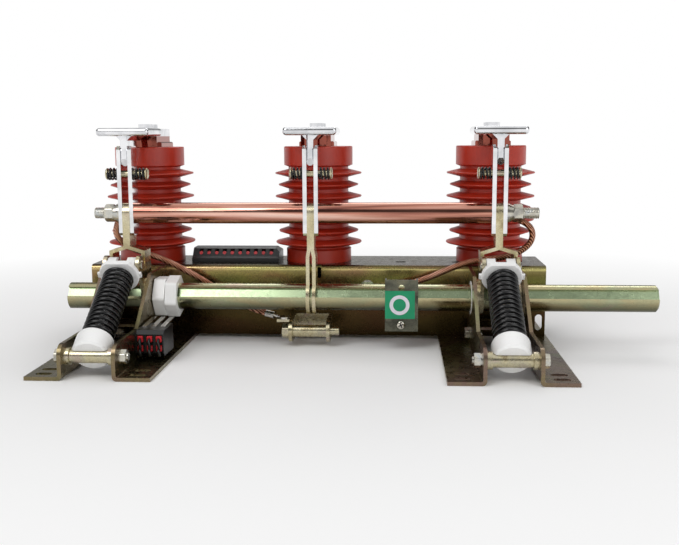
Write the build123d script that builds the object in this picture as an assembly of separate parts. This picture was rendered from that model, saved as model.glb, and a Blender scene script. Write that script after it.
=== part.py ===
from build123d import *
import math
import os

# Indoor earthing switch for three phases, shown closed.
# Three pairs of contact blades stand on one turning shaft. Two spring mechanisms drive the shaft past
# its dead centre. The fixed contacts sit on ribbed insulators on a folded crossbeam.
# X runs along the row of poles, Y from front to back and Z up. Sizes are in millimetres.
# The origin is on the floor under the shaft's axis, in the middle of the feet's bolt pattern.

# Driving dimensions: overall layout
pole_pitch = 210.0
pole_y = 98.0
shaft_z = 58.0
tie_rod_z = 154.0
running_gap = 0.3
sheet = 4.0

# Crossbeam, a channel folded from sheet and open below
beam_overhang = 61.5
beam_depth = 93.0
beam_top_z = 88.0
beam_sheet = 3.0
beam_bend = 5.0
beam_front_y = 44.0

# Insulators
insulator_height = 140.0
insulator_core_r = 36.8
insulator_cap_r = 42.0
insulator_base_r = 40.0
cap_height = 22.5
base_height = 15.0
large_shed_r = 53.0
small_shed_r = 49.0
shed_count = 7
shed_pitch = 14.1
top_shed_drop = 32.4
shed_root = 5.2
shed_lip_r = 1.15

# Fixed contacts on the insulators
contact_width = 60.0
contact_flange = 9.0
contact_front_y = -16.0
contact_wide_end_y = 47.0
contact_web = 7.6
web_bottom_z = 207.5
pedestal_width = 36.0
pedestal_height = 13.0
pedestal_front_y = 60.0
pedestal_end_y = 128.0
contact_foot_width = 42.0
contact_foot = 6.0

# Turning shaft with three lobes
shaft_r = 15.2
shaft_left_reach = 71.0
shaft_drive_reach = 177.0
groove_width = 11.0
groove_depth = 4.2
groove_angle = 28.0

# Feet of each mechanism, folded from sheet
mechanism_gap = 51.0
foot_half_width = 64.0
foot_front_y = -162.5
foot_rear_y = 162.5
foot_bend = 5.0
wall_low_top_z = 36.0
wall_high_top_z = 87.0
wall_slope_start_y = -80.0
wall_slope_end_y = -21.0
wall_corner_r = 12.0
slot_length = 17.0
slot_width = 9.0
slot_x = 48.0
slot_y = 150.0
slot_row_pitch = 18.0
cross_plate_z = 22.0
cross_plate_front_y = -6.0
cross_plate_depth = 38.0
cross_plate_sheet = 3.0
cross_bolt_y = 12.0
cross_bolt_z = 14.0
cross_bolt_r = 4.0

# Spring mechanisms
pivot_y = -148.5
pivot_z = 22.3
pivot_sleeve_r = 7.0
pivot_bolt_r = 4.0
pivot_bore_r = 4.2
pivot_collar_r = 9.0
crank_y = -28.0
crank_rise = 40.0
crank_pin_r = 5.0
crank_pin_half = 22.5
cap_r = 19.5
cap_length = 23.0
guide_rod_r = 5.0
guide_rod_end = 64.0
spring_outer_r = 17.0
spring_wire = 4.6
seat_r = 22.0
seat_disc = 6.0
seat_drop = 14.0
seat_spigot_r = 11.0
seat_spigot_length = 10.0
seat_flat = 17.6
seat_ear_inner = 6.0
seat_ear_outer = 15.7
seat_ear_half = 8.5

# Arms, two plates each
arm_plate = 4.0
arm_depth = 25.0
arm_top_z = 166.0
centre_joggle = 1.5
centre_joggle_z = 105.0
centre_joggle_rise = 8.0
outer_joggle = 16.5
outer_joggle_z = 109.0
outer_joggle_rise = 5.0
hub_r = 20.0
crank_lobe_r = 10.5
boss_r = 22.0

# Blades, tube and tie rod
blade_thickness = 4.5
blade_depth = 22.0
blade_bottom_z = 129.0
blade_top_z = 230.0
blade_bevel = 5.0
blade_lead_in = 1.8
tube_r = 12.0
tube_bore_r = 8.0
tie_rod_r = 6.0
tie_rod_left_reach = 38.0
tie_rod_right_reach = 44.0
nut_flats = 18.0
nut_height = 10.0
washer_r = 11.0
washer_thickness = 3.0
pressure_bolt_z = 198.5
pressure_bolt_r = 4.0
pressure_head_r = 6.6
pressure_head = 2.6
pressure_spring_r = 7.4
pressure_spring_length = 13.5

# Nylon bushes and switch cams on the shaft
bush_r = 19.0
bush_flange_r = 22.0
bush_flange = 5.0
cam_r = 24.5
cam_corner_r = 4.0
cam_width = 13.0
cam_gap = 0.6
cam_turns = (0.0, 14.0)

# Position indicator on the shaft
indicator_x = 102.2
indicator_width = 37.0
indicator_top_z = 80.5
indicator_bottom_z = 22.0
indicator_sheet = 2.0
indicator_depth = 12.0
indicator_face_gap = 0.2

# Earth terminal on the crossbeam's front face
earth_x = -3.0
earth_ear_gap = 39.0
earth_ear = 4.0
earth_pin_y = 0.0
earth_pin_z = 18.0
earth_ear_r = 12.5
earth_pin_r = 5.0
earth_sleeve_r = 7.0
earth_pin_right = 34.0
earth_tab_length = 15.0
earth_tab_y = 10.0

# Terminal strip and auxiliary switch
strip_left_x = -154.0
strip_length = 107.0
strip_front_y = 69.0
strip_depth = 46.0
strip_height = 16.5
strip_hole_count = 10
strip_hole_r = 2.6
aux_width = 30.0
aux_front_y = -90.0
aux_depth = 42.0
aux_bottom_z = 8.0
aux_height = 28.0
aux_leaf_count = 3

# Braids that earth the moving blades, as points of their runs at the pole pitch that they were drawn for
braid_pole_pitch = 210.0
braid_r = 3.5
left_braid_route = [
    (-226, 15, 145),
    (-232, 16, 134),
    (-229, 19, 121),
    (-217, 24, 111),
    (-200, 29, 104),
    (-181, 31, 97),
    (-160, 31, 87),
    (-138, 31, 75),
    (-115, 31, 61),
    (-93, 29, 48),
    (-73, 21, 39),
    (-55, 14, 36),
]
right_braid_route = [
    (231, 15, 146),
    (243, 16, 142),
    (251, 17, 132),
    (250, 20, 119),
    (239, 24, 108),
    (222, 28, 101),
    (203, 31, 98),
    (182, 32, 95),
    (159, 31, 87),
    (133, 32, 75),
    (107, 34, 67),
    (84, 36, 63),
]

# Worked out from the driving dimensions
left_x = -pole_pitch
right_x = pole_pitch
pole_xs = {"left": left_x, "centre": 0.0, "right": right_x}
beam_length = 2 * (pole_pitch + beam_overhang)
shaft_left_x = left_x - shaft_left_reach
shaft_right_x = right_x + shaft_drive_reach
tie_rod_left_x = left_x - tie_rod_left_reach
tie_rod_right_x = right_x + tie_rod_right_reach
braid_stretch = pole_pitch / braid_pole_pitch
left_braid_points = [(x * braid_stretch, y, z) for x, y, z in left_braid_route]
right_braid_points = [(x * braid_stretch, y, z) for x, y, z in right_braid_route]
mechanism_xs = {"left": left_x, "right": right_x}
wall_inner = mechanism_gap / 2
wall_outer = wall_inner + sheet
beam_bottom_z = sheet
blade_inner = arm_plate
blade_outer = blade_inner + blade_thickness
insulator_top_z = beam_top_z + insulator_height
contact_top_z = insulator_top_z + pedestal_height + contact_flange
crank_z = shaft_z + crank_rise
spring_run = math.hypot(crank_y - pivot_y, crank_z - pivot_z)
spring_tilt = math.degrees(math.atan2(crank_z - pivot_z, crank_y - pivot_y))
spring_length = spring_run - seat_drop - seat_disc - cap_length


def named(shape, name):
    """Write one node's file."""
    shape.label = name
    export_step(shape, f"parts/{name}.step")


def bar_x(radius, x_from, x_to, y, z):
    """A round bar along X."""
    middle = (x_from + x_to) / 2
    return Pos(middle, y, z) * Rot(0, 90, 0) * Cylinder(radius, x_to - x_from)


def ring_x(outer, inner, x_from, x_to, y, z):
    """A round ring along X."""
    return bar_x(outer, x_from, x_to, y, z) - bar_x(inner, x_from - 1, x_to + 1, y, z)


def hexagon_x(flats, x_from, x_to, y, z):
    """A hexagonal nut or bolt head along X, with its corners turned off at both faces."""
    blank = extrude(RegularPolygon(flats / 2, 6, major_radius=False), x_to - x_from)
    turned = Cylinder(flats * 0.565, x_to - x_from, align=(Align.CENTER, Align.CENTER, Align.MIN))
    turned = chamfer(turned.edges().filter_by(GeomType.CIRCLE), flats * 0.045)
    return Pos(x_from, y, z) * Rot(0, 90, 0) * (blank & turned)


def slab_x(outline, x_from, x_to):
    """An outline drawn in the YZ plane, given thickness from one X to another."""
    return Pos(x_from, 0, 0) * extrude(Plane.YZ * outline, x_to - x_from, dir=(1, 0, 0))


def slab_y(outline, y_from, y_to):
    """An outline drawn in the XZ plane, given thickness from one Y to another."""
    return Pos(0, y_from, 0) * extrude(Plane.XZ * outline, y_to - y_from, dir=(0, 1, 0))


def slab_z(outline, z_from, z_to):
    """An outline drawn in the XY plane, given thickness from one Z to another."""
    return Pos(0, 0, z_from) * extrude(outline, z_to - z_from, dir=(0, 0, 1))


def box_between(x_from, x_to, y_from, y_to, z_from, z_to):
    """A block given by its two corners."""
    size = (x_to - x_from, y_to - y_from, z_to - z_from)
    return Pos(x_from, y_from, z_from) * Box(*size, align=(Align.MIN, Align.MIN, Align.MIN))


def shaft_section(clearance=0.0):
    """The shaft's section: a round bar with three flat-bottomed grooves."""
    section = Circle(shaft_r + clearance)
    floor = shaft_r - groove_depth + clearance
    for turn in range(3):
        angle = groove_angle + 120 * turn
        groove = Pos(floor + shaft_r, 0) * Rectangle(2 * shaft_r, groove_width - 2 * clearance)
        section -= Rot(0, 0, 180 - angle) * groove
    return section


def make_shaft():
    """The turning shaft, chamfered at its right end."""
    length = shaft_right_x - shaft_left_x
    shaft = slab_x(Pos(0, shaft_z) * shaft_section(), shaft_left_x, shaft_left_x + length)
    nose = Cone(shaft_r, shaft_r - 2, 2, align=(Align.CENTER, Align.CENTER, Align.MIN))
    keep = bar_x(shaft_r + 1, shaft_left_x - 1, shaft_right_x - 2, 0, shaft_z)
    keep += Pos(shaft_right_x - 2, 0, shaft_z) * Rot(0, 90, 0) * nose
    return shaft & keep


def make_crossbeam():
    """The folded channel that carries the insulators."""
    height = beam_top_z - beam_bottom_z
    middle_y = beam_front_y + beam_depth / 2
    outer = Pos(middle_y, beam_bottom_z + height / 2) * Rectangle(beam_depth, height)
    outer = fillet(outer.vertices().sort_by(Axis.Y)[-2:], beam_bend)
    inner_depth = beam_depth - 2 * beam_sheet
    inner = Pos(middle_y, beam_bottom_z + (height - beam_sheet) / 2) * Rectangle(inner_depth, height - beam_sheet)
    inner = fillet(inner.vertices().sort_by(Axis.Y)[-2:], beam_bend - beam_sheet)
    beam = slab_x(outer - inner, -beam_length / 2, beam_length / 2)
    slot = Pos(beam_length / 2 - 7.5, 21) * Rot(0, 0, 90) * SlotOverall(19, 8.5)
    beam -= slab_y(slot, beam_front_y - 1, beam_front_y + 10)
    notch = box_between(2.5, 7.0, beam_front_y - 1, beam_front_y + 6, beam_top_z - 15, beam_top_z + 1)
    beam -= notch
    for x, length, width in ((101.5, 13.5, 9.0), (170.0, 13.5, 9.0)):
        hole = Pos(x, beam_front_y + 33) * SlotOverall(length, width)
        beam -= slab_z(hole, beam_top_z - 10, beam_top_z + 1)
    return beam


def wall_outline():
    """The outline of a mechanism wall from the side, with its foot strip, in the YZ plane."""
    wall = Polygon(
        (foot_front_y, 0),
        (foot_front_y, wall_low_top_z),
        (wall_slope_start_y, wall_low_top_z),
        (wall_slope_end_y, wall_high_top_z),
        (beam_front_y, wall_high_top_z),
        (beam_front_y, sheet),
        (foot_rear_y, sheet),
        (foot_rear_y, 0),
        align=None,
    )
    front_top = wall.vertices().group_by(Axis.X)[0].sort_by(Axis.Y)[-1]
    wall = fillet(front_top, wall_corner_r)
    tops = wall.vertices().group_by(Axis.Y)[-1].sort_by(Axis.X)
    return fillet(tops[0], wall_corner_r / 2)


def make_bracket(centre_x, side):
    """One folded foot: a wall beside the spring and a flange on the floor, turned outwards."""
    tall = wall_high_top_z + 1
    flange_width = foot_half_width - wall_inner
    corner = Polygon(
        (wall_inner, tall),
        (wall_inner, 0),
        (wall_inner + flange_width, 0),
        (wall_inner + flange_width, sheet),
        (wall_outer, sheet),
        (wall_outer, tall),
        align=None,
    )
    outside = corner.vertices().sort_by_distance((wall_inner, 0, 0))[0]
    corner = fillet(outside, foot_bend)
    inside = corner.vertices().sort_by_distance((wall_outer, sheet, 0))[0]
    corner = fillet(inside, 2.0)
    blank = slab_y(corner, foot_front_y, foot_rear_y)
    bracket = blank & slab_x(wall_outline(), 0, foot_half_width + 1)
    bracket -= bar_x(bush_r + running_gap, 0, foot_half_width, 0, shaft_z)
    bracket -= bar_x(pivot_bore_r, 0, foot_half_width, pivot_y, pivot_z)
    bracket -= bar_x(cross_bolt_r + 0.2, 0, foot_half_width, cross_bolt_y, cross_bolt_z)
    for y in (-slot_y, -slot_y + slot_row_pitch, slot_y):
        hole = Pos(slot_x, y) * SlotOverall(slot_length, slot_width)
        bracket -= slab_z(hole, -1, sheet + 1)
    if side < 0:
        bracket = mirror(bracket, Plane.YZ)
    return Pos(centre_x, 0, 0) * bracket


def make_cross_plate(centre_x):
    """The plate that ties the two walls of a mechanism, with a tab bolted to each wall."""
    top = cross_plate_z + cross_plate_sheet
    low = cross_bolt_z - 7.0
    back = cross_plate_front_y + cross_plate_depth
    plate = box_between(-wall_inner, wall_inner, cross_plate_front_y, back, low, top)
    inside = wall_inner - cross_plate_sheet
    plate -= box_between(-inside, inside, cross_plate_front_y - 1, back + 1, low - 1, cross_plate_z)
    plate -= bar_x(cross_bolt_r + 0.2, -wall_inner - 1, wall_inner + 1, cross_bolt_y, cross_bolt_z)
    bends = plate.edges().filter_by(Axis.Y).group_by(Axis.Z)[-1]
    plate = fillet(bends, cross_plate_sheet)
    return Pos(centre_x, 0, 0) * plate


def make_cross_bolts(centre_x):
    """The two bolts through the walls and the cross plate's tabs, each with head and nut."""
    bolts = []
    for side in (-1, 1):
        shank = bar_x(cross_bolt_r, wall_inner - 11, wall_outer, cross_bolt_y, cross_bolt_z)
        head = hexagon_x(13.0, wall_outer, wall_outer + 5.5, cross_bolt_y, cross_bolt_z)
        nut_start = wall_inner - cross_plate_sheet - 6.5
        nut = hexagon_x(13.0, nut_start, wall_inner - cross_plate_sheet, cross_bolt_y, cross_bolt_z)
        bolt = shank + head + nut
        if side < 0:
            bolt = mirror(bolt, Plane.YZ)
        bolts.append(Pos(centre_x, 0, 0) * bolt)
    return Compound(children=bolts)


def make_pivot_sleeve(centre_x):
    """The sleeve that the spring's lower cap rests on, with a collar at each end."""
    sleeve = bar_x(pivot_sleeve_r, -wall_inner, wall_inner, pivot_y, pivot_z)
    for side in (-1, 1):
        inner_end = cap_r + 0.3
        x_from, x_to = sorted((side * inner_end, side * wall_inner))
        sleeve += bar_x(pivot_collar_r, x_from, x_to, pivot_y, pivot_z)
    sleeve -= bar_x(pivot_bore_r, -wall_inner - 1, wall_inner + 1, pivot_y, pivot_z)
    return Pos(centre_x, 0, 0) * sleeve


def make_pivot_bolt(centre_x):
    """The bolt through both walls and the sleeve, its head outside and its nut inside."""
    side = 1 if centre_x > 0 else -1
    bolt = bar_x(pivot_bolt_r, -wall_outer - 10, wall_outer, pivot_y, pivot_z)
    bolt += hexagon_x(13.0, wall_outer, wall_outer + 6.0, pivot_y, pivot_z)
    bolt += bar_x(7.2, -wall_outer - 1.6, -wall_outer, pivot_y, pivot_z)
    bolt += hexagon_x(13.0, -wall_outer - 8.1, -wall_outer - 1.6, pivot_y, pivot_z)
    if side < 0:
        bolt = mirror(bolt, Plane.YZ)
    return Pos(centre_x, 0, 0) * bolt


def make_insulator(centre_x):
    """A ribbed post insulator, turned about its own axis, with large and small sheds in turn."""
    points = [(0, 0), (insulator_base_r, 0), (insulator_base_r, base_height), (insulator_core_r, base_height + 2)]
    core = Polyline(*points, (insulator_core_r, insulator_height - cap_height - 2))
    cap = Polyline(
        (insulator_core_r, insulator_height - cap_height - 2),
        (insulator_cap_r, insulator_height - cap_height),
        (insulator_cap_r, insulator_height),
        (0, insulator_height),
        (0, 0),
    )
    body = revolve(Plane.XZ * make_face(core + cap), Axis.Z)
    rims = body.edges().filter_by(GeomType.CIRCLE).group_by(Axis.Z)[-1]
    body = fillet(rims, 1.5)
    for number in range(shed_count):
        z = insulator_height - top_shed_drop - number * shed_pitch
        radius = large_shed_r if number % 2 == 0 else small_shed_r
        start = insulator_core_r - 1
        rim = radius - shed_lip_r
        shed = Polygon(
            (start, z - shed_root), (rim, z - shed_lip_r), (rim, z + shed_lip_r), (start, z + shed_root), align=None
        )
        lip = Pos(rim, z) * Circle(shed_lip_r)
        body += revolve(Plane.XZ * (shed + lip), Axis.Z)
    return Pos(centre_x, pole_y, beam_top_z) * body


def make_contact(centre_x):
    """The fixed contact: a wide head over a web that the blades grip, on a pedestal with a foot."""
    top = contact_top_z
    under = top - contact_flange
    wide_middle = (contact_front_y + contact_wide_end_y) / 2
    wide = Pos(0, wide_middle) * Rectangle(contact_width, contact_wide_end_y - contact_front_y)
    wide = fillet(wide.vertices(), 4.0)
    narrow_start = contact_wide_end_y - 8
    narrow_middle = (narrow_start + pedestal_end_y) / 2
    narrow = Pos(0, narrow_middle) * Rectangle(pedestal_width, pedestal_end_y - narrow_start)
    head = slab_z(wide + narrow, under, top)
    front = head.faces().filter_by(Axis.Y).sort_by(Axis.Y)[0]
    head = fillet(front.edges().filter_by(Axis.X), 3.8)
    half = contact_web / 2
    web_front = contact_front_y + 3.0
    side = Polygon(
        (web_front + 1.5, under),
        (web_front + 1.5, web_bottom_z + 8),
        (web_front + 6, web_bottom_z),
        (contact_wide_end_y - 20, web_bottom_z),
        (contact_wide_end_y - 6, web_bottom_z + 16),
        (contact_wide_end_y, under),
        align=None,
    )
    web = slab_x(side, -half, half)
    leading = web.edges().group_by(Axis.Y)[0].filter_by(Axis.Z)
    web = chamfer(leading, 1.6)
    low = web.faces().sort_by(Axis.Z)[0].edges().filter_by(Axis.Y)
    web = chamfer(low, 2.2)
    root = Polygon((-half - 5, under), (half + 5, under), (half, under - 5), (-half, under - 5), align=None)
    roots = slab_y(root, web_front + 4, contact_wide_end_y - 3)
    pedestal_bottom = insulator_top_z
    block = box_between(
        -pedestal_width / 2, pedestal_width / 2, pedestal_front_y, pedestal_end_y, pedestal_bottom, under
    )
    front_face = block.faces().sort_by(Axis.Y)[0]
    block = chamfer(front_face.edges().filter_by(Axis.Z), 5.0)
    foot_half = contact_foot_width / 2
    foot = box_between(
        -foot_half, foot_half, pedestal_front_y + 16, pedestal_end_y + 4, pedestal_bottom, pedestal_bottom + contact_foot
    )
    foot = chamfer(foot.edges().group_by(Axis.Z)[-1], 1.2)
    body = head + web + roots + block + foot
    for y in (pedestal_front_y + 22, pedestal_end_y - 22):
        body += slab_z(Pos(0, y) * RegularPolygon(7.5, 6, major_radius=False), top, top + 5.5)
    return Pos(centre_x, 0, 0) * body


def arm_side(lobe):
    """The outline of an arm from the side, in the YZ plane, with a crank lobe on the outer arms."""
    straight = arm_top_z - arm_depth / 2 - shaft_z
    outline = Pos(0, shaft_z + straight / 2) * Rectangle(arm_depth, straight)
    outline += Pos(0, arm_top_z - arm_depth / 2) * Circle(arm_depth / 2)
    outline += Pos(0, shaft_z) * Circle(hub_r)
    if lobe:
        reach = math.hypot(crank_y, crank_rise)
        turn = math.degrees(math.atan2(crank_rise, crank_y))
        bar = Pos(reach / 2, 0) * Rectangle(reach, 2 * crank_lobe_r)
        bar += Pos(reach, 0) * Circle(crank_lobe_r)
        outline += Pos(0, shaft_z) * Rot(0, 0, turn) * bar
    return outline


def arm_blank(joggle, start, rise):
    """One plate of an arm seen from the front, straight above and set outwards below its joggle."""
    low = shaft_z - hub_r - crank_lobe_r
    slope = math.hypot(joggle, rise)
    outer_lift = arm_plate * (slope - rise) / joggle
    return Polygon(
        (joggle, low),
        (joggle + arm_plate, low),
        (joggle + arm_plate, start + outer_lift),
        (arm_plate, start + rise + outer_lift),
        (arm_plate, arm_top_z + 1),
        (0, arm_top_z + 1),
        (0, start + rise),
        (joggle, start),
        align=None,
    )


def make_arm(centre_x):
    """A pair of arm plates. The outer arms also carry the crank that the spring pushes on."""
    outer_arm = centre_x != 0
    joggle = outer_joggle if outer_arm else centre_joggle
    start = outer_joggle_z if outer_arm else centre_joggle_z
    rise = outer_joggle_rise if outer_arm else centre_joggle_rise
    depth = 4 * hub_r + 2 * math.hypot(crank_y, crank_rise)
    blank = slab_y(arm_blank(joggle, start, rise), -depth / 2, depth / 2)
    plate = blank & slab_x(arm_side(outer_arm), -1, joggle + arm_plate + 1)
    plate -= bar_x(shaft_r, -1, joggle + arm_plate + 1, 0, shaft_z)
    plate -= bar_x(tie_rod_r, -1, joggle + arm_plate + 1, 0, tie_rod_z)
    if outer_arm:
        plate -= bar_x(crank_pin_r, -1, joggle + arm_plate + 1, crank_y, crank_z)
        boss_from = joggle + arm_plate
        plate += ring_x(boss_r, shaft_r, boss_from, wall_inner - 0.5, 0, shaft_z)
    other = mirror(plate, Plane.YZ)
    return Pos(centre_x, 0, 0) * Compound(children=[plate, other])


def make_blades(centre_x):
    """A pair of silver-plated blades that grip the fixed contact's web from both sides."""
    half = blade_depth / 2
    outline = Polygon(
        (-half, blade_bottom_z + 3),
        (-half, blade_top_z - 4),
        (-half + 4, blade_top_z),
        (half - 4, blade_top_z),
        (half, blade_top_z - 4),
        (half, blade_bottom_z + 3),
        (half - 3, blade_bottom_z),
        (-half + 3, blade_bottom_z),
        align=None,
    )
    blade = slab_x(outline, blade_inner, blade_outer)
    blade -= bar_x(tie_rod_r, blade_inner - 1, blade_outer + 1, 0, tie_rod_z)
    blade -= bar_x(pressure_bolt_r, blade_inner - 1, blade_outer + 1, 0, pressure_bolt_z)
    lead_in = Polygon(
        (blade_inner - 1, blade_top_z + 1),
        (blade_inner + blade_lead_in, blade_top_z + 1),
        (blade_inner + blade_lead_in, blade_top_z),
        (blade_inner, blade_top_z - blade_bevel),
        (blade_inner - 1, blade_top_z - blade_bevel),
        align=None,
    )
    blade -= slab_y(lead_in, -half - 1, half + 1)
    other = mirror(blade, Plane.YZ)
    return Pos(centre_x, 0, 0) * Compound(children=[blade, other])


def make_tubes():
    """The two copper tubes that hold the arms apart, between the blades of neighbouring poles."""
    tubes = []
    for start in (left_x, 0.0):
        x_from = start + blade_outer
        x_to = start + pole_pitch - blade_outer
        tubes.append(ring_x(tube_r, tube_bore_r, x_from, x_to, 0, tie_rod_z))
    return Compound(children=tubes)


def make_tie_rod():
    """The threaded rod through all the arms and tubes."""
    rod = bar_x(tie_rod_r, tie_rod_left_x, tie_rod_right_x, 0, tie_rod_z)
    ends = rod.edges().filter_by(GeomType.CIRCLE)
    return chamfer(ends, 1.0)


def make_barrel(end, beyond, length):
    """A crimp barrel that ends where a braid starts, in line with the braid's run."""
    end = Vector(*end)
    along = (end - Vector(*beyond)).normalized()
    align = (Align.CENTER, Align.CENTER, Align.MIN)
    return Plane(origin=end, z_dir=along) * Cylinder(braid_r + 0.8, length, align=align)


def make_neck(start, braid_end):
    """The neck from a ring lug into its crimp barrel, short of the braid's end."""
    span = Vector(*braid_end) - start
    align = (Align.CENTER, Align.CENTER, Align.MIN)
    return Plane(origin=start, z_dir=span.normalized()) * Cylinder(1.6, span.length - 3, align=align)


def make_tie_nuts():
    """A washer, a braid's ring lug, a spring washer and a nut at each end of the tie rod."""
    nuts = []
    for side in (-1, 1):
        start = pole_pitch + blade_outer
        stack = ring_x(washer_r, tie_rod_r, start, start + washer_thickness, 0, tie_rod_z)
        lug_end = start + washer_thickness + 2.0
        lug = bar_x(washer_r - 1, start + washer_thickness, lug_end, 0, tie_rod_z)
        stack += lug + box_between(start + washer_thickness, lug_end, 4, 17, tie_rod_z - 8, tie_rod_z - 1)
        stack += bar_x(tie_rod_r + 3, lug_end, lug_end + 2.5, 0, tie_rod_z)
        stack += hexagon_x(nut_flats, lug_end + 2.5, lug_end + 2.5 + nut_height, 0, tie_rod_z)
        stack -= bar_x(tie_rod_r, start - 1, start + 30, 0, tie_rod_z)
        if side < 0:
            stack = mirror(stack, Plane.YZ)
        points = left_braid_points if side < 0 else right_braid_points
        stack += make_barrel(points[0], points[1], 8.0)
        nuts.append(stack)
    return Compound(children=nuts)


def make_pressure_bolt(centre_x):
    """The bolt across the two blades that the pressure springs pull on."""
    reach = blade_outer + pressure_spring_length
    tip = reach + pressure_head
    rim = Line((reach, 0), (reach, pressure_head_r))
    crown = Spline((reach, pressure_head_r), (tip, 0), tangents=[(1, 0.25), (0, -1)])
    base = Line((tip, 0), (reach, 0))
    dome = revolve(make_face(rim + crown + base), Axis.X)
    bolt = bar_x(pressure_bolt_r, -reach, reach, 0, 0) + dome + mirror(dome, Plane.YZ)
    return Pos(centre_x, 0, pressure_bolt_z) * bolt


def make_pressure_springs(centre_x):
    """A short spring outside each blade, as a ribbed sleeve with the coils' outline."""
    springs = []
    coils = 4
    pitch = pressure_spring_length / coils
    start = blade_outer
    for side in (-1, 1):
        spring = ring_x(
            pressure_spring_r - pitch * 0.35, pressure_bolt_r, start, start + pressure_spring_length, 0, pressure_bolt_z
        )
        for number in range(coils):
            middle = start + (number + 0.5) * pitch
            spring += ring_x(
                pressure_spring_r, pressure_bolt_r, middle - pitch * 0.36, middle + pitch * 0.36, 0, pressure_bolt_z
            )
        if side < 0:
            spring = mirror(spring, Plane.YZ)
        springs.append(Pos(centre_x, 0, 0) * spring)
    return springs


def make_crank_pin(centre_x):
    """The pin through the crank lobes that the spring's upper seat turns on."""
    pin = bar_x(crank_pin_r, -crank_pin_half, crank_pin_half, crank_y, crank_z)
    pin = chamfer(pin.edges().filter_by(GeomType.CIRCLE), 0.8)
    return Pos(centre_x, 0, 0) * pin


def make_bush(centre_x, side):
    """A nylon bush that turns with the shaft in a wall's bore. Only the far left one has a flange."""
    outer_end = wall_outer + 0.5
    bush = ring_x(bush_r, shaft_r, wall_inner - 0.5, outer_end, 0, shaft_z)
    if centre_x < 0 and side < 0:
        bush += ring_x(bush_flange_r, shaft_r, outer_end, outer_end + bush_flange, 0, shaft_z)
    if side < 0:
        bush = mirror(bush, Plane.YZ)
    return Pos(centre_x, 0, 0) * bush


def make_cams():
    """Two nylon cams on the shaft that work the auxiliary switch."""
    cams = []
    start = left_x + wall_outer + 1.0
    for turn in cam_turns:
        outline = fillet(RegularPolygon(cam_r, 6).vertices(), cam_corner_r)
        outline = Pos(0, shaft_z) * Rot(0, 0, turn) * outline
        cam = slab_x(outline, start, start + cam_width)
        cam -= bar_x(shaft_r, start - 1, start + cam_width + 1, 0, shaft_z)
        cams.append(cam)
        start += cam_width + cam_gap
    return Compound(children=cams)


def make_indicator():
    """The folded plate on the shaft that carries the position sign, held by a strap round the shaft."""
    half = indicator_width / 2
    face_back = -shaft_r - indicator_face_gap
    face_front = face_back - indicator_sheet
    plate = box_between(-half, half, face_front, face_front + indicator_depth, indicator_bottom_z, indicator_top_z)
    inside = half - indicator_sheet
    plate -= box_between(-inside, inside, face_back, 50, indicator_bottom_z - 1, indicator_top_z + 1)
    plate -= bar_x(shaft_r + indicator_face_gap, -half - 1, half + 1, 0, shaft_z)
    strap_r = shaft_r + indicator_face_gap
    for side in (-1, 1):
        x_from, x_to = sorted((side * inside, side * half))
        strap = ring_x(strap_r + 2.5, shaft_r, x_from, x_to, 0, shaft_z)
        plate += strap
    plate -= Pos(0, 0, indicator_top_z - 9) * Rot(90, 0, 0) * Cylinder(3.5, 80)
    return Pos(indicator_x, 0, 0) * plate


def make_guide_cap(centre_x):
    """The lower nylon cap, with a groove across it that seats on the pivot sleeve."""
    cap = Cylinder(cap_r, cap_length, align=(Align.CENTER, Align.CENTER, Align.MIN))
    cap = fillet(cap.edges().filter_by(GeomType.CIRCLE).group_by(Axis.Z)[-1], 3.0)
    cap = chamfer(cap.edges().filter_by(GeomType.CIRCLE).group_by(Axis.Z)[0], 2.0)
    cap -= bar_x(pivot_sleeve_r + running_gap, -cap_r - 1, cap_r + 1, 0, 0)
    cap -= Pos(0, 0, cap_length - 6) * Cylinder(guide_rod_r, 20, align=(Align.CENTER, Align.CENTER, Align.MIN))
    return on_spring_line(centre_x) * cap


def on_spring_line(centre_x):
    """The place of the pivot, with the local Z axis along the spring."""
    return Pos(centre_x, pivot_y, pivot_z) * Rot(spring_tilt - 90, 0, 0)


def make_guide_rod(centre_x):
    """The rod inside the spring, held in the lower cap."""
    start = cap_length - 6
    rod = Cylinder(guide_rod_r, guide_rod_end - start, align=(Align.CENTER, Align.CENTER, Align.MIN))
    rod = chamfer(rod.edges().group_by(Axis.Z)[-1], 1.5)
    return on_spring_line(centre_x) * Pos(0, 0, start) * rod


def make_spring(centre_x):
    """The main spring as a sleeve with its outer and inner diameter."""
    inner = spring_outer_r - spring_wire
    align = (Align.CENTER, Align.CENTER, Align.MIN)
    sleeve = Cylinder(spring_outer_r, spring_length, align=align)
    sleeve -= Cylinder(inner, spring_length * 3)
    return on_spring_line(centre_x) * Pos(0, 0, cap_length) * sleeve


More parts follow.
